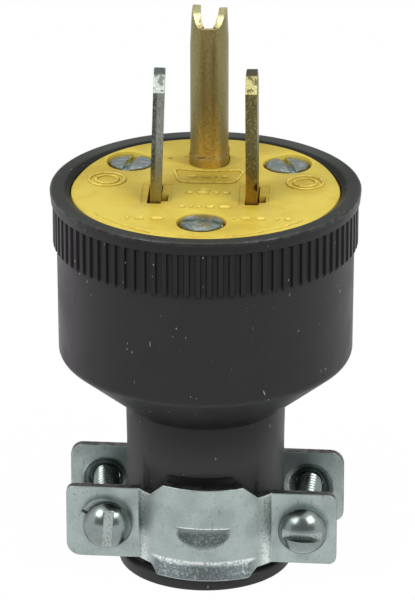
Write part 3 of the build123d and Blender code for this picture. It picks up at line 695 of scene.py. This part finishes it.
def bladeMesh(name, x, lean, turn):
    b = SimpleNamespace(**bladeLook)
    foot, tip = -b.root, b.faceThickness + b.length
    cut = tip - b.corner

    def outline(drop):
        # corners at the tip keep their slope when the tip is lowered by the bevel of its sheet
        flat = b.wide - b.corner
        return np.array([(-b.wide, foot), (b.wide, foot), (b.wide, cut - drop), (flat, tip - drop),
                         (-flat, tip - drop), (-b.wide, cut - drop)])
    offsets = [(-b.half, b.tip), (b.tip - b.half, 0), (b.half - b.tip, 0), (b.half, b.tip)]
    upper = bevelled(stack("upper", [
        np.column_stack([np.full(6, offset), outline(drop)]) for offset, drop in offsets]), 0.03, 2, 20.0)
    points = positions(upper)
    across = (points[:, 0] / metre / b.half).astype(np.float32)
    upper.data.attributes.new("across", "FLOAT", "POINT").data.foreach_set("value", across)
    # x and z turn by the lean, then x and y by the turn, about the seat
    leanX = points[:, 0] * cos(lean) + points[:, 2] * sin(lean)
    leanZ = points[:, 2] * cos(lean) - points[:, 0] * sin(lean)
    moved = np.column_stack([leanX * cos(turn) - points[:, 1] * sin(turn) + x * metre,
                             leanX * sin(turn) + points[:, 1] * cos(turn) + face["bladeY"] * metre,
                             leanZ + b.seat * metre])
    upper.data.vertices.foreach_set("co", moved.ravel())
    y, seat, low = face["bladeY"], b.seat, b.seat - b.shoulderHeight
    sheet = (x - b.half, x + b.half)
    tail = block("tail", sheet, (y - b.wide, y + b.wide), (low - b.tail, low + 0.01))
    axes = (np.array([0, 1.0, 0]), np.array([0, 0, 1.0]), np.array([1.0, 0, 0]))
    cutAway(tail, [rod("hole", b.hole, -3, 3, np.array([x, y, b.holeUp]), axes)])
    shoulder = block("shoulder", sheet, (y - b.shoulderHalf, y + b.shoulderHalf), (low, seat))
    return joined(name, [upper, bevelled(shoulder, 0.05), bevelled(tail, 0.05)])


leftBlade, rightBlade = (
    bladeMesh(name, x, radians(lean), radians(turn)) for name, x, lean, turn in zip(
        ("neutralBlade", "hotBlade"), face["bladeX"], bladeLook["leans"], bladeLook["turns"]))
place(leftBlade, "nickel_plate", "neutral_blade")
place(rightBlade, "brass", "hot_blade", finish="hotBrass")
print("blades made")


def closedSheet(name, outer, thickness, edge, marks=None, hint=None):
    # inner = outer - thickness * normal; the rim between them turns through two quarter circles
    along, across = np.gradient(outer, axis=1), np.gradient(outer, axis=0)
    normal = np.cross(along, across)
    normal /= np.linalg.norm(normal, axis=-1, keepdims=True)
    middle = (outer - (np.zeros(3) if hint is None else hint)).reshape(-1, 3)[:, :2]
    if np.sum(normal.reshape(-1, 3)[:, :2] * middle) < 0:
        normal = -normal
    inner = outer - thickness * normal
    rows, columns = outer.shape[:2]
    i = np.concatenate([
        np.zeros(columns - 1, int), np.arange(rows - 1),
        np.full(columns - 1, rows - 1), np.arange(rows - 1, 0, -1)])
    j = np.concatenate([
        np.arange(columns - 1), np.full(rows - 1, columns - 1),
        np.arange(columns - 1, 0, -1), np.zeros(rows - 1, int)])
    rim, up = outer[i, j], normal[i, j]
    tangent = np.roll(rim, -1, 0) - np.roll(rim, 1, 0)
    away = np.cross(tangent, up)
    away /= np.linalg.norm(away, axis=-1, keepdims=True)
    inward = outer[np.clip(i, 1, rows - 2), np.clip(j, 1, columns - 2)] - rim
    away *= -np.sign(np.sum(away * inward, -1, keepdims=True))
    quarter = np.linspace(0, pi / 2, 5)
    steps = [(edge * sin(a), edge * (1 - cos(a))) for a in quarter[1:]]
    steps += [(edge * cos(a), thickness - edge + edge * sin(a)) for a in quarter[:-1]]
    rings = [rim + push * away - drop * up for push, drop in steps]
    points = np.concatenate([outer.reshape(-1, 3), inner.reshape(-1, 3), *rings])
    ringStart, count = 2 * rows * columns, len(i)
    outerLoop, innerLoop = i * columns + j, rows * columns + i * columns + j
    loops = [outerLoop] + [ringStart + k * count + np.arange(count) for k in range(len(rings))] + [innerLoop]
    faces = [gridFaces(rows, columns), gridFaces(rows, columns, start=rows * columns)]
    faces += [np.stack([a, np.roll(a, -1), np.roll(b, -1), b], -1) for a, b in zip(loops, loops[1:])]
    shearedAndShade = np.zeros(len(points))
    shearedAndShade[ringStart + 2 * count:ringStart + (len(rings) - 1) * count] = 1
    fields = {"rim": shearedAndShade}
    for mark, values in (marks or {}).items():
        fields[mark] = np.concatenate([values.ravel(), np.zeros(len(points) - values.size)])
    return newPiece(name, points, np.concatenate(faces), 38.0, fields)


# Ground pin

pin = {
    "front": 7.76, "radius": 2.48, "sheet": 1.1, "legs": 2.48, "foot": 47.6, "tips": (73.74, 73.42),
    "notch": 71.9, "notchReach": 2.2, "notchPower": 3.45, "notchTurn": 5.0, "taper": 0.22, "taperLength": 4.5,
    "shift": -0.05, "edge": 0.12,
    "coinFoot": 69.2, "coinDepth": 0.3, "collarTop": 54.0, "collarStep": 0.14,
    "shoulderHalf": 4.3, "shoulderHeight": 2.0, "tailHalf": 3.6, "tail": 8.6, "holeUp": 42.4, "hole": 1.8,
}


def pinMesh():
    p = SimpleNamespace(**pin)
    middle = p.radius - p.sheet / 2
    # s runs along the middle of the sheet, from the left leg's end, round the front, to the right leg's end
    quarter = middle * pi / 2
    s = np.concatenate([
        np.linspace(-quarter - p.legs, -quarter, 16)[:-1], np.linspace(-quarter, quarter, 120),
        np.linspace(quarter, quarter + p.legs, 16)[1:]])
    angle = np.clip(s / middle, -pi / 2, pi / 2)
    back = np.abs(s) - np.minimum(np.abs(s), quarter)
    # rise = h t^p / (1 + t^(p k))^(1/k), t = |s| / reach: a power that turns softly into the legs' flat tops
    legTop = np.where(s < 0, *p.tips)
    raised = (np.abs(s) / p.notchReach) ** p.notchPower
    rise = (legTop - p.notch) * raised / (1 + raised ** p.notchTurn) ** (1 / p.notchTurn)
    top = p.notch + rise - p.edge
    share = np.concatenate([np.linspace(0, 0.62, 40)[:-1], np.linspace(0.62, 1, 70)])[:, None]
    z = p.foot + share * (top - p.foot)
    radius = p.radius + p.collarStep * smooth(p.collarTop + 0.08, p.collarTop - 0.08, z)
    thin = 1 - p.taper / p.radius * np.clip((z - p.tips[0] + p.taperLength) / p.taperLength, 0, 1)
    x = radius * np.sin(angle) * thin
    y = p.front + p.radius - radius * np.cos(angle) + back
    # coining: the front is pressed back to a plane that goes deeper towards the notch
    pressed = np.clip((z - p.coinFoot) / (p.notch - p.coinFoot), 0, 2)
    plane = p.front + p.coinDepth * pressed ** 1.6
    y = np.where((z > p.coinFoot) & (y < plane), plane, y)
    outer = np.stack([x + p.shift, y, z], -1)
    band = closedSheet("band", outer, p.sheet, p.edge, hint=np.array([0, 10.24, 0]))
    front, back, low = p.front, p.front + p.sheet, p.foot
    shoulder = block("shoulder", (-p.shoulderHalf, p.shoulderHalf), (front, back),
                     (low, low + p.shoulderHeight))
    tail = block("tail", (-p.tailHalf, p.tailHalf), (front, back), (low - p.tail, low + 0.01))
    axes = (np.array([1.0, 0, 0]), np.array([0, 0, 1.0]), np.array([0, -1.0, 0]))
    cutAway(tail, [rod("hole", p.hole, -12, -5, np.array([0, 0, p.holeUp]), axes)])
    return joined("groundPin", [band, bevelled(shoulder, 0.05), bevelled(tail, 0.05)])


place(pinMesh(), "brass", "ground_pin")
print("ground pin made")


# Cord clamp

clampAxes = (
    np.array([cos(clampTurn), sin(clampTurn), 0.0]),
    np.array([0.0, 0.0, 1.0]),
    np.array([sin(clampTurn), -cos(clampTurn), 0.0]),
)
clamp = {
    "sheet": 1.2, "skin": 11.45, "earInner": 6.1, "earOuter": 7.3, "earFoot": 2.55, "earTop": 12.7,
    "bend": 0.3, "edge": 0.16, "tabTop": 14.7, "tabHalf": 5.3, "tabRoot": 7.15, "tabFlare": 0.25,
    "shift": 0.55, "lipFoot": 1.95, "lipHalf": 6.2, "lipRoot": 7.1, "lipCrease": 4.0, "lipFlare": 1.15,
    "moonHalf": 3.8, "moonHeight": 2.8, "moonTop": 8.75, "moonDepth": 0.8,
    "screwX": {"left": -12.55, "right": 13.55}, "screwZ": 7.7, "lean": {"left": 6.5, "right": 0.0},
    "rowLow": 5.2, "rowHigh": 10.4, "bore": 1.82,
}


def fromClamp(x, up, out, side=1):
    # a point in the clamp's own plane: x to the right, up, and outwards at the front (side 1) or back (-1)
    right, high, front = clampAxes
    return side * x[..., None] * right + up[..., None] * high + side * out[..., None] * front


def strapMesh(name, side, shift, reach, topRound, footRound):
    # reach, topRound and footRound are (towards -x, towards +x) in the strap's own plane, and its band stands
    # shift to +x
    c = SimpleNamespace(**clamp)
    reach = (reach[0] + shift, reach[1] - shift)
    centreX = np.sqrt((c.skin + c.bend) ** 2 - (c.earOuter + c.bend) ** 2)
    swing = np.arctan2(c.earOuter + c.bend, centreX)

    def halfPlan(end, corner):
        # band arc, small fillet, then the ear with columns that crowd at its rounded corners
        keyAngles = np.arccos(np.array([0.0, c.tabHalf, c.lipHalf, c.lipRoot, c.tabRoot]) / c.skin)
        arc = np.unique(np.concatenate([np.linspace(swing, pi / 2, 76), keyAngles]))[::-1]
        band = np.stack([c.skin * np.cos(arc), c.skin * np.sin(arc)], -1)
        turn = np.linspace(-swing, -pi / 2, 7)[1:]
        fillet = np.stack([
            centreX - c.bend * np.cos(turn), c.earOuter + c.bend + c.bend * np.sin(turn)], -1)
        run = np.linspace(centreX, end - corner, 24)[1:]
        curl = end - corner + (corner - c.edge) * np.sin(np.linspace(0, pi / 2, 12)[1:])
        ear = np.stack([np.concatenate([run, curl]), np.full(len(run) + len(curl), c.earOuter)], -1)
        return np.concatenate([band, fillet, ear])
    leftHalf, rightHalf = (halfPlan(end, max(rounds)) for end, rounds in zip(reach, zip(topRound, footRound)))
    plan = np.concatenate([leftHalf[::-1] * (-1, 1), rightHalf[1:]])
    x, out = plan[:, 0], plan[:, 1]
    far, onRight = np.abs(x), (x > 0).astype(int)
    top = np.interp(far, [c.tabHalf, c.tabRoot], [c.tabTop, c.earTop])
    foot = np.interp(far, [c.lipHalf, c.lipRoot], [c.lipFoot, c.earFoot])

    def cornerDrop(rounds):
        room = np.array(rounds)[onRight] - c.edge
        curl = np.clip(far - (np.array(reach)[onRight] - c.edge - room), 0, room)
        return room - np.sqrt(np.maximum(room ** 2 - curl ** 2, 0))
    foot, top = foot + c.edge + cornerDrop(footRound), top - c.edge - cornerDrop(topRound)
    share = [np.linspace(0, 1, 25), np.linspace(0, 1, 53)[1:], np.linspace(0, 1, 25)[1:]]
    z = np.concatenate([
        foot + share[0][:, None] * (c.rowLow - foot),
        c.rowLow + share[1][:, None] * (c.rowHigh - c.rowLow) + 0 * foot,
        c.rowHigh + share[2][:, None] * (top - c.rowHigh)])
    x = np.repeat(x[None], len(z), 0)
    out = np.repeat(out[None], len(z), 0)
    # the lip and the tab lean out: the band's circle grows, less and less towards the ears
    blend = 1 - smooth(7.3, 8.6, np.abs(x))
    below, above = c.lipCrease - z, z - c.earTop
    onLip = 1 - smooth(c.lipHalf - 0.3, c.lipHalf + 1.1, np.abs(x))
    lean = onLip * c.lipFlare / (c.lipCrease - c.lipFoot) * (below + np.sqrt(below ** 2 + 0.02)) / 2
    lean = lean + c.tabFlare / (c.tabTop - c.earTop) * (above + np.sqrt(above ** 2 + 0.01)) / 2
    circle = np.sqrt(np.maximum(c.skin ** 2 - x ** 2, 0.01))
    out = out + blend * (np.sqrt(np.maximum((c.skin + lean) ** 2 - x ** 2, 0.01)) - circle)
    # half moon: deepest along its straight upper edge, run out at its lower rim, with a soft dish above
    reachDown = c.moonHeight * np.sqrt(np.clip(1 - (x / c.moonHalf) ** 2, 0.0001, 1))
    down = c.moonTop - z
    ends = smooth(1.0, 0.8, np.abs(x) / c.moonHalf)
    wedge = c.moonDepth * ends * np.clip(1 - down / reachDown, 0, 1) * smooth(-0.14, 0.06, down)
    dish = 0.14 * smooth(1.0, 0.0, np.hypot(x / (c.moonHalf * 1.15), down / 1.6)) * smooth(0.1, -0.2, down)
    # the half-moon's floor and the lip get a darker grained colour: stamped texture and painted shade
    struck = np.clip(wedge * 6, 0, 1) * smooth(0.3, 0.9, down) + smooth(0.1, 0.5, below) * onLip
    # painted highlights: a pale line along the half-moon's top edge, another along the lip's crease, and
    # paler bends by the ears
    bright = np.clip(1.6 - np.abs(down + 0.16) / 0.1, 0, 1) * (reachDown > 0.3) * ends
    bright = bright + np.clip(1.4 - np.abs(below) / 0.18, 0, 1) * onLip
    bright = bright + 0.7 * smooth(7.0, 8.4, np.abs(x)) * smooth(centreX, centreX - 0.6, np.abs(x))
    outer = fromClamp(x + shift, z, out - wedge - dish, side)
    marks = {"struck": np.clip(struck, 0, 1), "bright": np.clip(bright, 0, 1)}
    return closedSheet(name, outer, c.sheet, c.edge, marks)


def screwFrame(name):
    # origin and axes of a clamp screw; out = 0 at the plug's axis, measured along the screw
    right, high, front = clampAxes
    lean = radians(clamp["lean"][name])
    middle = (clamp["earInner"] + clamp["earOuter"]) / 2
    across = clamp["screwX"][name] - middle * tan(lean)
    axes = (right * cos(lean) - front * sin(lean), high, front * cos(lean) + right * sin(lean))
    return across * right + clamp["screwZ"] * high, axes


def tubeX(name):
    # where the axis of a screw meets the back ears
    middle = (clamp["earInner"] + clamp["earOuter"]) / 2
    return clamp["screwX"][name] - (middle + clamp["earOuter"]) * tan(radians(clamp["lean"][name]))


def screwHoles(radius, start, end):
    # cutters along both clamp screws
    return [rod("hole", radius, start, end, *screwFrame(name)) for name in ("left", "right")]


frontStrap = strapMesh("frontStrap", 1, clamp["shift"], (18.0, 18.0), (1.0, 1.35), (1.9, 1.0))
cutAway(frontStrap, screwHoles(1.6, 4.0, 9.0))
place(frontStrap, "zinc_plate", "front_strap")

backStrap = strapMesh("backStrap", -1, 0.0, (18.2, 18.85), (1.9, 1.6), (1.4, 1.4))
dishes, tubes = [], []
for screwName in ("left", "right"):
    right, high, front = clampAxes
    axes = (right, high, -front)
    origin = tubeX(screwName) * right + clamp["screwZ"] * high
    depth = np.linspace(-0.3, 1.0, 14)
    flare = 1.84 + 1.5 * (1 - np.clip(depth, 0, 1)) ** 1.6 + np.where(depth < 0, 0.9, 0)
    line = np.concatenate([[(0, 5.8)], np.stack([flare, clamp["earInner"] + depth], -1), [(0, 7.1)]])
    ring = around(64)
    dishes.append(newPiece("dish", turned(line, ring, origin, *axes), gridFaces(len(line), 64, False, True)))
    tube = rounded([
        (clamp["bore"], 7.2), (2.9, 7.2), (2.4, 7.5, 0.3, 4), (2.4, 8.7, 0.25, 4), (clamp["bore"], 8.7)])
    tubes.append(newPiece("tube", turned(tube, ring, origin, *axes), gridFaces(len(tube), 64, True, True)))
cutAway(backStrap, dishes + screwHoles(clamp["bore"], -10.5, -4.0))
place(joined("backStrap", [backStrap, *tubes]), "zinc_plate", "back_strap")
print("straps made,", len(frontStrap.data.polygons), "faces in the front one")


def slottedHead(look, turn, origin, axes):
    # dome: r = R sin a, h = height - R (1 - cos a), down to the lip of the head
    radius, height, lip, edge = look["radius"], look["height"], look["lip"], 0.08
    bulge = height - lip
    sphere = (radius ** 2 + bulge ** 2) / (2 * bulge)
    a = np.linspace(0, np.arcsin(min(radius * 0.985 / sphere, 1)), 22)
    dome = np.stack([sphere * np.sin(a), height - sphere * (1 - np.cos(a))], -1)
    line = np.concatenate([dome, np.array([(radius, lip), (radius, edge), (radius - edge, 0), (0, 0)])])
    ring = around(96)
    # painted shade: the head's outer edge is darkened through the rim mark
    grimeAndShade = np.repeat(smooth(0.88, 1.0, line[:, 0] / radius), 96) * 0.75
    head = newPiece("head", turned(line, ring, origin, *axes), gridFaces(len(line), 96, False, True), 35.0, {
        "rim": grimeAndShade, "bright": np.zeros(len(grimeAndShade))})
    right, high, out = axes
    along = cos(turn) * right + sin(turn) * high
    beside = -sin(turn) * right + cos(turn) * high
    corners = [(-1, -1), (1, -1), (1, 1), (-1, 1)]
    slot = stack("slot", [[
        origin + i * along * radius * 1.5 + j * beside * look["slotWidth"] / 2 + up * out for i, j in corners]
        for up in (height - look["slotDepth"], height + 1)])
    cutAway(head, [slot])
    # painted reflection: the slot's floor is painted paler, as strong as floorShine
    above = (positions(head) / metre - origin) @ out
    onFloor = (np.abs(above - height + look["slotDepth"]) < 0.02).astype(np.float32)
    head.data.attributes["bright"].data.foreach_set("value", onFloor * look["floorShine"])
    return bevelled(head, edge, 2, 38.0)


def threadedShank(look, start, end, origin, axes):
    # r = R - depth * ridge(h / pitch - angle / 2 pi), run out at the end, with a thinner neck below the head
    pitch = look["pitch"]
    h = np.linspace(start, end, int((end - start) / pitch * 12))
    ring = around(48)
    wave = (h[:, None] / pitch - ring[None] / (2 * pi)) % 1
    ridge = np.clip(np.abs(wave - 0.5) * 2.6 - 0.25, 0, 1)
    fadeOut = smooth(start, start + 0.6, h)[:, None]
    r = look["shank"] - look["thread"] * ridge * fadeOut - 0.25 * (1 - fadeOut)
    plainFrom, plainRadius = look["plain"]
    r = np.where(h[:, None] > plainFrom, plainRadius, r)
    right, high, out = axes
    circle = np.cos(ring)[:, None] * right + np.sin(ring)[:, None] * high
    wall = origin + r[..., None] * circle[None] + h[:, None, None] * out
    caps = [np.repeat((origin + height * out)[None, None], len(ring), 1) for height in (h[0], h[-1])]
    points = np.concatenate([caps[0], wall, caps[1]])
    return newPiece("shank", points, gridFaces(len(h) + 2, len(ring), False, True), 60.0)


def makeScrew(side, kind, look, under, start, origin, axes):
    # the head sits "under" along the axis, and its shank runs back to "start"
    head = slottedHead(look, radians(look["turns"][side]), origin + under * axes[2], axes)
    shank = threadedShank(look, start, under + 0.3, origin, axes)
    screw, low = joined(side + kind + "Screw", [head, shank]), kind.lower()
    place(screw, "zinc_plate", side + "_" + low + "_screw", finish=low + "Screw")


clampScrew = {
    "radius": 3.25, "lip": 0.25, "height": 2.3, "slotWidth": 1.3, "slotDepth": 1.15, "shank": 1.76,
    "length": 17.7, "pitch": 0.8, "thread": 0.34, "plain": (5.9, 1.45), "floorShine": 0.2,
    "seats": {"left": 8.419, "right": 8.1}, "turns": {"left": 86.0, "right": -3.0},
}
for screwName, seat in clampScrew["seats"].items():
    under = seat / cos(radians(clamp["lean"][screwName]))
    makeScrew(screwName, "Clamp", clampScrew, under, under - clampScrew["length"], *screwFrame(screwName))

faceScrew = {
    "radius": 2.8, "lip": 1.15, "height": 1.45, "slotWidth": 1.0, "slotDepth": 0.8, "shank": 1.45,
    "seat": 51.45, "end": -19.95, "pitch": 0.79, "thread": 0.22, "plain": (-1.0, 1.3), "floorShine": 0.0,
    "turns": {"front": -5.0, "left": 77.0, "right": 108.0},
}
for spotName, spot in screwSpots.items():
    origin = np.array([*spot, faceScrew["seat"]])
    makeScrew(spotName, "Face", faceScrew, 0.0, faceScrew["end"], origin, upright)
print("screws made")

for sub in frame["record"]["subparts"]:
    node = nodes[sub["node"]]
    node.data.materials.clear()
    node.data.materials.append(finishes[sub["material_slot"]])
print("CAD nodes dressed")


# Floor, light and camera

def clearedTree(owner):
    owner.use_nodes = True
    owner.node_tree.nodes.clear()
    return owner.node_tree


def lightPathMix(tree, share, first, second):
    # the second shader shows to camera, glossy and transmission rays, times a share
    rays = addNode(tree, "LightPath").outputs
    total = rays["Is Camera Ray"]
    for operation, other in (
            ("MAXIMUM", rays["Is Glossy Ray"]), ("MAXIMUM", rays["Is Transmission Ray"]),
            ("MULTIPLY", share)):
        total = addNode(tree, "Math", {"operation": operation}, {0: total, 1: other}).outputs[0]
    return addNode(tree, "MixShader", {}, {0: total, 1: first, 2: second}).outputs[0]


def stageBoard(name, finish, corners):
    mesh = bpy.data.meshes.new(name)
    mesh.from_pydata(corners, [], [(0, 1, 2, 3)])
    material = bpy.data.materials.new(finish)
    mesh.materials.append(material)
    board = inScene(name, mesh)
    return board, clearedTree(material)


def studio(look):
    # the background is white to the camera and in reflections, and the floor keeps a faint shadow
    size, white = 20.0, (1, 1, 1, 1)
    corners = [(-size, -size), (size, -size), (size, size), (-size, size)]
    floor, tree = stageBoard("floor", "paleFloor", [(x, y, -0.00002) for x, y in corners])
    paper = addNode(tree, "BsdfDiffuse", {}, {"Color": (0.86, 0.86, 0.86, 1)}).outputs[0]
    glow = addNode(tree, "Emission").outputs[0]
    mixed = lightPathMix(tree, look["floorGlow"], paper, glow)
    addNode(tree, "OutputMaterial", {}, {0: mixed})
    scene.world = bpy.data.worlds.new("studio")
    tree = clearedTree(scene.world)
    dim, bright = (
        addNode(tree, "Background", {}, {"Color": white, "Strength": strength}).outputs[0]
        for strength in (look["fill"], 1.0))
    addNode(tree, "OutputWorld", {}, {0: lightPathMix(tree, 1.0, dim, bright)})


def flag(name, azimuth, low, high, distance, width, tone):
    # a dark board that only reflections see, from one elevation to another
    a = radians(azimuth)
    away, aside = np.array([sin(a), -cos(a)]), np.array([cos(a), sin(a)])
    board, tree = stageBoard(name, name, [
        (*(distance * away + side * width / 2 * aside), 0.03 + distance * tan(radians(up)))
        for side, up in ((-1, low), (1, low), (1, high), (-1, high))])
    glow = addNode(tree, "Emission", {}, {"Color": (tone, tone, tone, 1)}).outputs[0]
    addNode(tree, "OutputMaterial", {}, {0: glow})
    board.visible_camera = board.visible_diffuse = board.visible_shadow = False


def stand(thing, azimuth, elevation, distance, centre, aim):
    # place = centre + distance (sin a cos e, -cos a cos e, sin e), turned to look at the aim
    a, e = radians(azimuth), radians(elevation)
    thing.location = Vector(centre) + distance * Vector((sin(a) * cos(e), -cos(a) * cos(e), sin(e)))
    thing.rotation_euler = (Vector(aim) - thing.location).to_track_quat("-Z", "Y").to_euler()


def softbox(name, azimuth, elevation, distance, size, watts):
    lamp = bpy.data.lights.new(name, "AREA")
    lamp.shape, lamp.size, lamp.energy = "SQUARE", size, watts
    stand(inScene(name, lamp), azimuth, elevation, distance, (0, 0, 0.03), (0, 0, 0.03))


view = {"azimuth": 2.839, "elevation": 22.772, "distance": 0.6, "centre": (0, 0, 0.036),
        "aim": (0.00025, 0, 0.03702), "lens": 272.96, "sensor": 36.0}
studio({"floorGlow": 0.985, "fill": 0.6})
flag("frontFlag", 0, 3, 62, 0.9, 2.4, 0.28)
flag("backFlag", 180, 6, 45, 0.9, 2.4, 0.34)
softbox("leftBox", -50, 46, 0.6, 0.26, 1.3)
softbox("rightBox", 50, 46, 0.6, 0.26, 1.3)

camera = inScene("camera", bpy.data.cameras.new("camera"))
camera.data.sensor_fit, camera.data.sensor_height = "VERTICAL", view["sensor"]
camera.data.lens, camera.data.clip_start = view["lens"], 0.01
stand(camera, view["azimuth"], view["elevation"], view["distance"], view["centre"], view["aim"])
scene.camera = camera
scene.view_settings.view_transform = "Standard"
